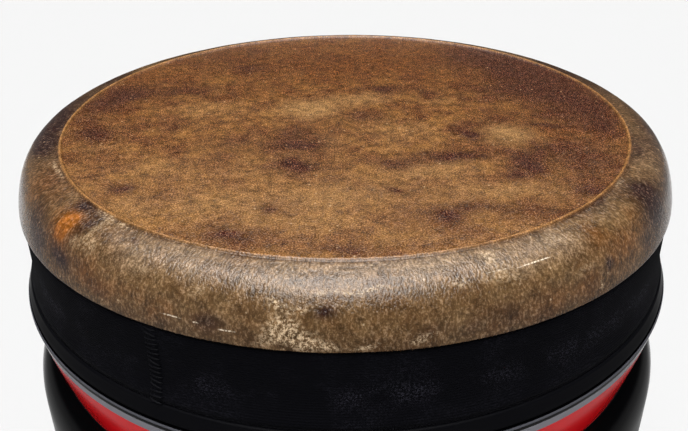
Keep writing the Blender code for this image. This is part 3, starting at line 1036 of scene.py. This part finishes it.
@dataclass
class HideHead:
    """The thick hide: flat playing face, thin ridge, sloping collar and hanging edge."""

    ridge_radius: float = 0.1100
    top_z: float = 0.2750
    face_z: float = 0.2742
    edge_z: float = 0.2548
    ridge_half_width: float = 0.0009
    thickness: float = 0.0020
    edge_round: float = 0.0007
    segments: int = 384
    face_spacing: float = 0.0022
    collar_spacing: float = 0.0008
    relief: float = 0.00030
    relief_size: float = 0.016
    collar_path: Tuple[Point2, ...] = (
        (0.1110, 0.27430), (0.1145, 0.27375), (0.1184, 0.27280), (0.1212, 0.27120), (0.1229, 0.26945),
        (0.1249, 0.26620), (0.1265, 0.26180), (0.1274, 0.25795), (0.1277, 0.25550),
    )
    edge_fillet: Point2 = (0.0008, 0.0003)
    ridge_steps: int = 8
    under_spacing: float = 0.006
    zone_gap: float = 0.0002
    unroll_radius: float = 0.12
    unroll_squeeze: float = 0.60
    batch: int = 4000
    face_marks: Dict[MarkKind, Tuple[Mark, ...]] = field(default_factory=lambda: FACE_MARKS)
    collar_marks: Dict[MarkKind, Tuple[Mark, ...]] = field(default_factory=lambda: COLLAR_MARKS)
    finish: RawhideFinish = field(default_factory=RawhideFinish)

    def outline(self) -> Tuple[List[Point2], int]:
        """The hide's section from the face's centre round to the underside's centre.

        Returns:
            The points, and how many of them lie on the outer skin.
        """
        inner = self.ridge_radius - self.ridge_half_width
        outer = self.ridge_radius + self.ridge_half_width
        far, near = self.edge_fillet
        skin = straight((0.0, self.face_z), (inner - far, self.face_z), self.face_spacing)
        skin += [(inner - far, self.face_z), (inner - near, self.face_z)]
        for step in range(self.ridge_steps + 1):
            share = step / self.ridge_steps
            rise = (self.top_z - self.face_z) * math.sin(math.pi * share) ** 0.8
            skin.append((inner + (outer - inner) * share, self.face_z + rise))
        collar = smooth_path(self.collar_path, self.collar_spacing)
        skin += collar
        side, low = collar[-1]
        for turn in (0.25, 0.5, 0.75, 1.0):
            angle = turn * math.pi / 2
            inward, under_z = self.edge_round * (1 - math.cos(angle)), low - self.edge_round * math.sin(angle)
            skin.append((side - inward, under_z))
        under = [(side - self.thickness, self.edge_z), (side - self.thickness, low)]
        for before, here, after in list(zip(collar, collar[1:], collar[2:]))[::-3]:
            run, rise = after[0] - before[0], after[1] - before[1]
            length = math.hypot(run, rise)
            under.append((here[0] + rise / length * self.thickness, here[1] - run / length * self.thickness))
        floor_z = self.face_z - self.thickness
        under = [(r, min(z, floor_z)) for r, z in under]
        last = under[-1][0]
        under += straight((last, floor_z), (0.0, floor_z), self.under_spacing)[1:] + [(0.0, floor_z)]
        return skin + under, len(skin)

    def build(self, lathe: LatheTree) -> bpy.types.Object:
        """Build the hide, colour its mesh with marks and settle it.

        Args:
            lathe: The lathe tree.

        Returns:
            The hide.
        """
        outline, skin_count = self.outline()
        piece = turned_piece(
            "hide_skin", outline, self.finish.build(), lathe, self.segments, self.relief, self.relief_size
        )
        self._mark(piece, outline[:skin_count])
        settle(piece, Slot.HIDE, "hide_head")
        return piece

    def _mark(self, piece: bpy.types.Object, skin: Sequence[Point2]) -> None:
        """Write the unrolled place, the zones and the marks as attributes.

        Args:
            piece: The turned hide.
            skin: The outer part of its outline.
        """
        mesh = piece.data
        count = len(mesh.vertices)
        places = np.empty(count * 3)
        mesh.vertices.foreach_get("co", places)
        places = places.reshape(count, 3)
        radius = np.hypot(places[:, 0], places[:, 1])
        turn = np.arctan2(places[:, 1], places[:, 0])
        section = np.array(skin)
        steps = np.hypot(*np.diff(section, axis=0).T)
        runs = np.concatenate([[0.0], np.cumsum(steps)])
        run = np.empty(count)
        gap = np.empty(count)
        for start in range(0, count, self.batch):
            part = slice(start, start + self.batch)
            distance = np.hypot(
                radius[part, None] - section[None, :, 0], places[part, 2, None] - section[None, :, 1]
            )
            nearest = distance.argmin(axis=1)
            run[part] = runs[nearest]
            gap[part] = distance[np.arange(len(nearest)), nearest]
        on_face = radius < self.ridge_radius - 0.002
        run = np.where(on_face, radius, run)
        flesh = (gap > self.thickness * 0.4) | (on_face & (places[:, 2] < self.face_z - self.thickness / 2))
        flat = np.stack([run * np.cos(turn), run * np.sin(turn), np.zeros(count)], axis=1)
        upright = np.stack([
            self.unroll_radius * np.cos(turn), self.unroll_radius * np.sin(turn), run * self.unroll_squeeze
        ], axis=1)
        self._write(mesh, "flat_place", flat, "FLOAT_VECTOR")
        self._write(mesh, "upright_place", upright, "FLOAT_VECTOR")
        self._write(mesh, "flesh_zone", flesh.astype(float))
        ridge_run = self.ridge_radius + self.zone_gap
        collar_run = ridge_run + 0.0008
        self._write(mesh, "collar_zone", np.clip((run - ridge_run - self.zone_gap) / 0.0012, 0.0, 1.0))
        # Ridge zone: painted highlight along the ridge's crest.
        self._write(mesh, "ridge_highlight_zone", np.exp(-((run - ridge_run) / 0.00065) ** 2) * 0.8)
        # Crease zone: painted shade just outside the ridge.
        self._write(mesh, "crease_shade_zone", np.exp(-((run - ridge_run - 0.0017) / 0.0007) ** 2) * 0.5)

        x_run, y_run = flat[:, 0], flat[:, 1]
        warp = np.stack([
            np.sin(y_run * 410 + 1.3) + np.sin(x_run * 230 + y_run * 170),
            np.sin(x_run * 390 + 0.4) + np.sin(y_run * 260 - x_run * 150),
        ], axis=1)
        bent = flat[:, :2] / MM + warp * 0.9
        for kind in MarkKind:
            spot = self._smoke if kind is MarkKind.STAIN else self._fade
            clear = np.ones(count)
            for x, y, half_x, half_y, strength in self.face_marks[kind]:
                across, along = (bent[:, 0] - x) / half_x, (bent[:, 1] - y) / half_y
                clear *= 1 - strength * spot(across, along)
            clear = np.where(run > collar_run, 1.0, clear)
            for azimuth, out, half_round, half_down, strength in self.collar_marks[kind]:
                aim = math.radians(azimuth)
                away = bent - np.array([out * math.cos(aim), out * math.sin(aim)])
                down = away[:, 0] * math.cos(aim) + away[:, 1] * math.sin(aim)
                along = -away[:, 0] * math.sin(aim) + away[:, 1] * math.cos(aim)
                strong = strength * self._fade(along / half_round, down / half_down)
                clear *= 1 - np.where(run > collar_run, strong, 0.0)
            self._write(mesh, kind.value, 1 - clear)

    @staticmethod
    def _fade(across: np.ndarray, along: np.ndarray) -> np.ndarray:
        """A soft-edged spot that is 1 at its centre."""
        return np.exp(-0.9 * (across ** 2 + along ** 2) ** 1.15)

    @staticmethod
    def _smoke(across: np.ndarray, along: np.ndarray) -> np.ndarray:
        """A spot that is 1 at its centre and thins out slowly, like soaked-in smoke."""
        away = across ** 2 + along ** 2
        return 0.58 * np.exp(-away / 2.6) + 0.42 * np.exp(-away / 0.62)

    @staticmethod
    def _write(mesh: bpy.types.Mesh, name: str, values: np.ndarray, kind: str = "FLOAT") -> None:
        """Write one attribute of a mesh's points.

        Args:
            mesh: The mesh.
            name: The attribute's name.
            values: A number or a vector for each point.
            kind: The attribute's type.
        """
        attribute = mesh.attributes.new(name, kind, "POINT")
        part = "vector" if kind == "FLOAT_VECTOR" else "value"
        attribute.data.foreach_set(part, np.ravel(values).astype(np.float32))


@dataclass
class KnitBand:
    """The stretch-knit band with its overlock seam."""

    top_z: float = 0.2545
    bottom_z: float = 0.2264
    radius: float = 0.1266
    hem_flare: float = 0.0023
    hem_height: float = 0.0110
    ribs: int = 800
    rib_depth: float = 0.00022
    cloth_thickness: float = 0.0008
    rows: int = 14
    seam_azimuth: float = -117.2
    seam_width: float = 0.0042
    seam_swell: float = 0.0006
    stitch_pitch: float = 0.0017
    stitch_waver: float = 0.26
    stitch_dip: float = 0.0009
    thread_sides: int = 6
    thread_radius: float = 0.00028
    finish: StretchKnitFinish = field(default_factory=StretchKnitFinish)
    thread: ThreadFinish = field(default_factory=ThreadFinish)

    def section(self, share: float) -> Point2:
        """Radius and height of the cloth at a share of the way from top to hem.

        Args:
            share: 0 at the top, 1 at the hem.

        Returns:
            The radius and the height.
        """
        height = self.top_z + (self.bottom_z - self.top_z) * share
        hem = max(0.0, 1 - (height - self.bottom_z) / self.hem_height)
        tuck = 0.0008 * max(0.0, 1 - share / 0.10) ** 2
        rolled = 0.0007 * max(0.0, (share - 0.95) / 0.05) ** 2
        return self.radius + self.hem_flare * hem ** 2 - tuck - rolled, height

    def build(self, ribs: RibTree, stitches: StitchTree) -> bpy.types.Object:
        """Build the band and its seam, and settle both.

        Args:
            ribs: The rib tree.
            stitches: The stitch tree.

        Returns:
            The band.
        """
        step = 2 * math.pi / self.ribs
        points, faces = [], []
        for row in range(self.rows + 1):
            radius, height = self.section(row / self.rows)
            for turn, lift in ((-step / 2, 0.0), (0.0, self.rib_depth), (step / 2, 0.0)):
                reach = radius + lift
                points.append((reach * math.cos(turn), reach * math.sin(turn), height))
            if row:
                low, high = 3 * row, 3 * (row - 1)
                faces += [(low, low + 1, high + 1, high), (low + 1, low + 2, high + 2, high + 1)]
        rib = mesh_object("knit_rib", points, [], faces)
        piece = run_tree(rib, ribs, {"Ribs": self.ribs, "Material": self.finish.build()}, "knit_sleeve")
        self._swell_seam(piece)
        wall = piece.modifiers.new("cloth", "SOLIDIFY")
        wall.thickness = self.cloth_thickness
        wall.offset = -1.0
        seam = self._seam(stitches)
        settle(piece, Slot.KNIT, "knit_band")
        settle(seam, Slot.KNIT)
        return piece

    def _swell_seam(self, piece: bpy.types.Object) -> None:
        """Raise the cloth where the two overlocked edges lie under it.

        Args:
            piece: The band.
        """
        mesh = piece.data
        aim = math.radians(self.seam_azimuth)
        for point in mesh.vertices:
            x, y, _ = point.co
            radius = math.hypot(x, y)
            away = (math.atan2(y, x) - aim + math.pi) % (2 * math.pi) - math.pi
            lift = self.seam_swell * math.exp(-(away * radius / (self.seam_width * 0.42)) ** 4)
            point.co.x += lift * x / radius
            point.co.y += lift * y / radius

    def _seam(self, stitches: StitchTree) -> bpy.types.Object:
        """Lay the overlock stitches down the seam.

        Args:
            stitches: The stitch tree.

        Returns:
            The seam's thread.
        """
        aim = math.radians(self.seam_azimuth)
        path = []
        for row in range(2, 3 * self.rows):
            radius, height = self.section(row / (3 * self.rows))
            reach = radius + self.seam_swell + self.rib_depth * 0.6
            path.append((reach * math.cos(aim), reach * math.sin(aim), height))
        line = mesh_object("seam_line", path, [(i, i + 1) for i in range(len(path) - 1)])
        stitch = self._stitch()
        values = {
            "Stitch": stitch, "Pitch": self.stitch_pitch, "Azimuth": aim, "Waver": self.stitch_waver,
            "Material": self.thread.build(),
        }
        seam = run_tree(line, stitches, values, "overlock_seam")
        bpy.data.objects.remove(stitch, do_unlink=True)
        face_outwards(seam)
        for polygon in seam.data.polygons:
            polygon.use_smooth = True
        return seam

    def _stitch(self) -> bpy.types.Object:
        """One stitch: a thread across the seam whose ends turn down, with a link to the next.

        Returns:
            The stitch, lying along Y with +X outwards.
        """
        half, dip, sides = self.seam_width / 2, self.stitch_dip, self.thread_sides
        path = [
            Vector((out, half * share, height))
            for out, share, height in (
                (-dip, -1, 0.0005), (-0.0001, -0.9, 0.0003), (0.0001, -0.4, 0.0001),
                (0.0001, 0.4, -0.0001), (-0.0001, 0.9, -0.0003), (-dip, 1, -0.0006),
            )
        ]
        points, faces = [], []
        for index, place in enumerate(path):
            ahead = path[min(index + 1, len(path) - 1)] - path[max(index - 1, 0)]
            across = ahead.normalized().cross(Vector((0, 0, 1))).normalized()
            upward = across.cross(ahead.normalized())
            for side in range(sides):
                angle = 2 * math.pi * side / sides
                spoke = across * math.cos(angle) + upward * math.sin(angle)
                points.append(place + spoke * self.thread_radius)
        for index in range(len(path) - 1):
            for side in range(sides):
                after = (side + 1) % sides
                low, high = index * sides, (index + 1) * sides
                faces.append((low + side, low + after, high + after, high + side))
        faces.append(tuple(range(sides))[::-1])
        last = (len(path) - 1) * sides
        faces.append(tuple(last + side for side in range(sides)))
        return mesh_object("thread_stitch", points, [], faces)


@dataclass
class RimRing:
    """The smooth satin ring below the band."""

    top_z: float = 0.2261
    bottom_z: float = 0.2204
    top_radius: float = 0.1292
    bottom_radius: float = 0.1304
    inner_radius: float = 0.1257
    edge_round: float = 0.0008
    segments: int = 320
    finish: SatinPlasticFinish = field(default_factory=SatinPlasticFinish)

    def build(self, lathe: LatheTree) -> bpy.types.Object:
        """Build the ring and settle it.

        Args:
            lathe: The lathe tree.

        Returns:
            The ring.
        """
        edge = self.edge_round
        top = rounded_corner((self.top_radius - edge, self.top_z - edge), edge, edge)
        low = rounded_corner((self.bottom_radius - edge, self.bottom_z + edge), edge, -edge)[::-1]
        side = straight(top[-1], low[0], 0.0016)[1:]
        outline = [(self.inner_radius, self.top_z), *top, *side, *low, (self.inner_radius, self.bottom_z)]
        outline.append(outline[0])
        piece = turned_piece("satin_ring", outline, self.finish.build(), lathe, self.segments)
        settle(piece, Slot.RING, "rim_ring")
        return piece


@dataclass
class DrumShell:
    """The moulded shell: bearing edge, seat, lip, striped neck, rounded shoulder and body."""

    bearing_radius: float = 0.1065
    bearing_z: float = 0.2719
    seat_radius: float = 0.1254
    seat_top_z: float = 0.2548
    lip_top_z: float = 0.2201
    lip_radius: float = 0.1311
    lip_thickness: float = 0.0012
    waist_radius: float = 0.1243
    neck_bow: float = 0.0003
    shelf_z: float = 0.1910
    shoulder_overhang: float = 0.0088
    shoulder_drop: float = 0.0150
    shoulder_squareness: float = 2.2
    foot_inset: float = 0.0200
    foot_round: float = 0.0012
    body_bow_power: float = 2.0
    wall: float = 0.0050
    shelf_fillet: float = 0.0008
    bearing_outer: float = 0.1114
    neck_steps: int = 16
    body_steps: int = 26
    segments: int = 320
    finish: GlossPlasticFinish = field(default_factory=GlossPlasticFinish)

    def outline(self) -> List[Point2]:
        """The shell's section from the bearing edge down the outside and back up the inside.

        Returns:
            The points, with the first repeated at the end.
        """
        body_radius = self.waist_radius + self.shoulder_overhang
        shoulder_z = self.shelf_z - self.shoulder_drop
        foot_radius = body_radius - self.foot_inset
        seat = rounded_corner(
            (self.bearing_outer, self.seat_top_z), self.seat_radius - self.bearing_outer,
            self.bearing_z - self.seat_top_z, 2.2, 12,
        )
        points: List[Point2] = [(self.bearing_radius, self.bearing_z), *seat]
        lip_start = (self.seat_radius, self.lip_top_z)
        points += [*straight(seat[-1], lip_start, 0.006)[1:], lip_start]
        lip = self.lip_thickness / 2
        points += straight(lip_start, (self.lip_radius - lip, self.lip_top_z), 0.002)[1:]
        points += rounded_corner((self.lip_radius - lip, self.lip_top_z - lip), lip, lip)
        neck_top = self.lip_top_z - self.lip_thickness
        for step in range(self.neck_steps + 1):
            share = step / self.neck_steps
            bow = self.neck_bow * math.sin(math.pi * share)
            radius = self.lip_radius + (self.waist_radius - self.lip_radius) * share + bow
            points.append((radius, neck_top + (self.shelf_z - neck_top) * share))
        points[-1] = (self.waist_radius + 0.0001, self.shelf_z + self.shelf_fillet)
        points.append((self.waist_radius + self.shelf_fillet * 0.4, self.shelf_z + self.shelf_fillet * 0.3))
        shoulder = rounded_corner(
            (self.waist_radius, shoulder_z), self.shoulder_overhang, self.shoulder_drop,
            self.shoulder_squareness, 28,
        )
        points += [p for p in shoulder if p[0] > self.waist_radius + self.shelf_fillet]
        points += self._body(0.0, self.foot_round, shoulder_z, body_radius)
        points += rounded_corner(
            (foot_radius - self.foot_round, self.foot_round), self.foot_round, -self.foot_round, 2.0, 4
        )[::-1][1:]
        inner_foot = foot_radius - self.wall
        points += rounded_corner(
            (inner_foot + self.foot_round, self.foot_round), -self.foot_round, -self.foot_round, 2.0, 4
        )
        points += self._body(self.wall, self.foot_round, shoulder_z, body_radius)[::-1][1:]
        points += [
            (body_radius - self.wall, shoulder_z),
            (self.waist_radius - self.wall, self.shelf_z - self.wall),
            (self.waist_radius - self.wall, self.shelf_z),
            (self.seat_radius - self.wall, self.lip_top_z - self.lip_thickness),
            (self.seat_radius - self.wall, self.seat_top_z),
        ]
        points += [(0.1190, 0.2604), (0.1160, 0.2640), (0.1110, 0.2664), (self.bearing_radius, 0.2669)]
        points.append(points[0])
        return points

    def _body(self, inward: float, foot_z: float, shoulder_z: float, body_radius: float) -> List[Point2]:
        """Side of the body below the shoulder.

        Args:
            inward: How far the side is moved inwards.
            foot_z: The height that it ends at.
            shoulder_z: The height that it starts from.
            body_radius: The radius that it starts with.

        Returns:
            The points, from the shoulder down.
        """
        steps = self.body_steps
        return [
            (
                body_radius - self.foot_inset * (step / steps) ** self.body_bow_power - inward,
                shoulder_z + (foot_z - shoulder_z) * step / steps,
            )
            for step in range(1, steps + 1)
        ]

    def build(self, lathe: LatheTree) -> bpy.types.Object:
        """Build the shell and settle it.

        Args:
            lathe: The lathe tree.

        Returns:
            The shell.
        """
        piece = turned_piece("shell_body", self.outline(), self.finish.build(), lathe, self.segments)
        settle(piece, Slot.SHELL, "drum_shell")
        return piece


# ---------------------------------------------------------------- studio


@dataclass
class SoftBox:
    """One soft area light aimed at the drum."""

    name: str
    place: Tuple[float, float, float]
    size: Tuple[float, float]
    watts: float
    aim: Tuple[float, float, float] = (0.0, 0.0, 0.26)

    def build(self) -> None:
        """Make the light."""
        data = bpy.data.lights.new(self.name, "AREA")
        data.shape = "RECTANGLE"
        data.size, data.size_y = self.size
        data.energy = self.watts
        lamp = bpy.data.objects.new(self.name, data)
        lamp.location = self.place
        lamp.rotation_mode = "QUATERNION"
        lamp.rotation_quaternion = (Vector(self.aim) - Vector(self.place)).to_track_quat("-Z", "Y")
        bpy.context.scene.collection.objects.link(lamp)


@dataclass(frozen=True)
class OverheadPanel:
    """A large, far strip light above the drum, given by the tangents of its edges' angles."""

    middle_across: float = -0.04
    half_width: float = 0.32
    front_reach: float = 1.30
    back_reach: float = 0.60
    soft_edge: float = 0.16
    brightness: float = 7.5
    lowest_rise: float = 0.02

    def light(self, add: AddNode) -> Any:
        """Wire the panel's brightness for each direction.

        Args:
            add: Adds a node to the world.

        Returns:
            The brightness.
        """
        ahead = add("ShaderNodeTexCoord")["Generated"]
        parts = add("ShaderNodeSeparateXYZ", {0: ahead})
        upward = add(MATH, {0: parts["Z"], 1: self.lowest_rise}, operation="MAXIMUM")[0]
        shares = []
        for axis, middle, half in (
            ("X", self.middle_across, self.half_width),
            ("Y", (self.back_reach - self.front_reach) / 2, (self.back_reach + self.front_reach) / 2),
        ):
            off = add(MATH, {0: parts[axis], 1: upward}, operation="DIVIDE")[0]
            off = add(MATH, {0: off, 1: middle}, operation="SUBTRACT")[0]
            off = add(MATH, {0: off}, operation="ABSOLUTE")[0]
            fade = {0: off, 1: half - self.soft_edge, 2: half + self.soft_edge, 3: 1.0, 4: 0.0}
            shares.append(add(RANGE, fade, interpolation_type="SMOOTHSTEP")[0])
        inside = add(MATH, {0: shares[0], 1: shares[1]}, operation="MULTIPLY")[0]
        return add(MATH, {0: inside, 1: self.brightness}, operation="MULTIPLY")[0]


@dataclass
class Studio:
    """Pale floor, soft lights and the camera at the photograph's viewing angle."""

    camera_place: Tuple[float, float, float] = (-0.00055, -0.30247, 0.39501)
    camera_pitch: float = 28.913
    camera_roll: float = -0.630
    focal_pixels: float = 800.0
    image_width: int = 688
    sensor_mm: float = 36.0
    room_dim: float = 0.02
    table_glow: float = 1.30
    backdrop: float = 0.62
    side_glow: float = 0.19
    panel: OverheadPanel = field(default_factory=OverheadPanel)
    floor_half: float = 6.0
    floor: StudioPaperFinish = field(default_factory=StudioPaperFinish)
    lights: Tuple[SoftBox, ...] = (
        SoftBox("overhead_box", (0.0, 0.10, 1.30), (0.60, 0.90), 0.8),
    )

    def build(self) -> None:
        """Build the floor, the sky, the lights and the camera."""
        self._floor()
        self._sky()
        for light in self.lights:
            light.build()
        self._camera()
        bpy.context.scene.view_settings.view_transform = "Standard"

    def _floor(self) -> None:
        """Lay the floor."""
        half = self.floor_half
        corners = [(-half, -half, 0.0), (half, -half, 0.0), (half, half, 0.0), (-half, half, 0.0)]
        sheet = mesh_object("studio_floor", corners, [], [(0, 1, 2, 3)])
        sheet.data.materials.append(self.floor.build())
        sheet.visible_glossy = False

    def _sky(self) -> None:
        """Light the scene with the dim room and its overhead panel, before a pale backdrop."""
        world = bpy.data.worlds.new("studio_air")
        world.use_nodes = True
        tree = world.node_tree
        add = partial(add_node, tree)
        room = add(MATH, {0: self._table_glow(add), 1: self.room_dim}, operation="ADD")[0]
        total = add(MATH, {0: self.panel.light(add), 1: room}, operation="ADD")[0]
        seen = add("ShaderNodeLightPath")["Is Camera Ray"]
        shown = add(MIX, {0: seen, 2: total, 3: self.backdrop}, data_type="FLOAT")[0]
        plug(tree, tree.nodes["Background"], {"Color": linear("#ffffff"), "Strength": shown})
        bpy.context.scene.world = world

    def _table_glow(self, add: AddNode) -> Any:
        """Brightness of the lit paper behind and beside the drum, as glossy pieces mirror it.

        Args:
            add: Adds a node to the world.

        Returns:
            The brightness for each direction.
        """
        ahead = add("ShaderNodeTexCoord")["Generated"]
        parts = add("ShaderNodeSeparateXYZ", {0: ahead})
        across = add(MATH, {0: parts["X"]}, operation="ABSOLUTE")[0]
        down, behind, aside, low = [
            add(RANGE, dict(enumerate(span)), interpolation_type="SMOOTHSTEP")[0]
            for span in (
                (parts["Z"], -0.22, -0.36),
                (parts["Y"], 0.54, 0.86, 0.05, self.table_glow),
                (across, 0.30, 0.60, 0.0, self.side_glow),
                (parts["Z"], 0.30, -0.05),
            )
        ]
        table = add(MATH, {0: down, 1: behind}, operation="MULTIPLY")[0]
        return add(MATH, {0: aside, 1: low, 2: table}, operation="MULTIPLY_ADD")[0]

    def _camera(self) -> None:
        """Set up the camera."""
        pitch = math.radians(self.camera_pitch)
        roll = math.radians(self.camera_roll)
        ahead = Vector((0.0, math.cos(pitch), -math.sin(pitch)))
        upward = Vector((0.0, math.sin(pitch), math.cos(pitch)))
        right = Vector((1.0, 0.0, 0.0))
        turned_right = right * math.cos(roll) + upward * math.sin(roll)
        turned_up = upward * math.cos(roll) - right * math.sin(roll)
        data = bpy.data.cameras.new("photo_camera")
        data.sensor_width = self.sensor_mm
        data.lens = self.focal_pixels / self.image_width * self.sensor_mm
        data.clip_start = 0.02
        data.clip_end = 50.0
        camera = bpy.data.objects.new("photo_camera", data)
        axes = Matrix((turned_right, turned_up, -ahead)).transposed()
        camera.matrix_world = Matrix.Translation(self.camera_place) @ axes.to_4x4()
        bpy.context.scene.collection.objects.link(camera)
        bpy.context.scene.camera = camera


def main() -> None:
    """Build every piece of the drum and the studio round it."""
    logging.basicConfig(level=logging.INFO, format="%(name)s %(message)s")
    lathe = LatheTree()
    DrumShell().build(lathe)
    RimRing().build(lathe)
    HideHead().build(lathe)
    KnitBand().build(RibTree(), StitchTree())
    Studio().build()


if __name__ == "__main__":
    main()
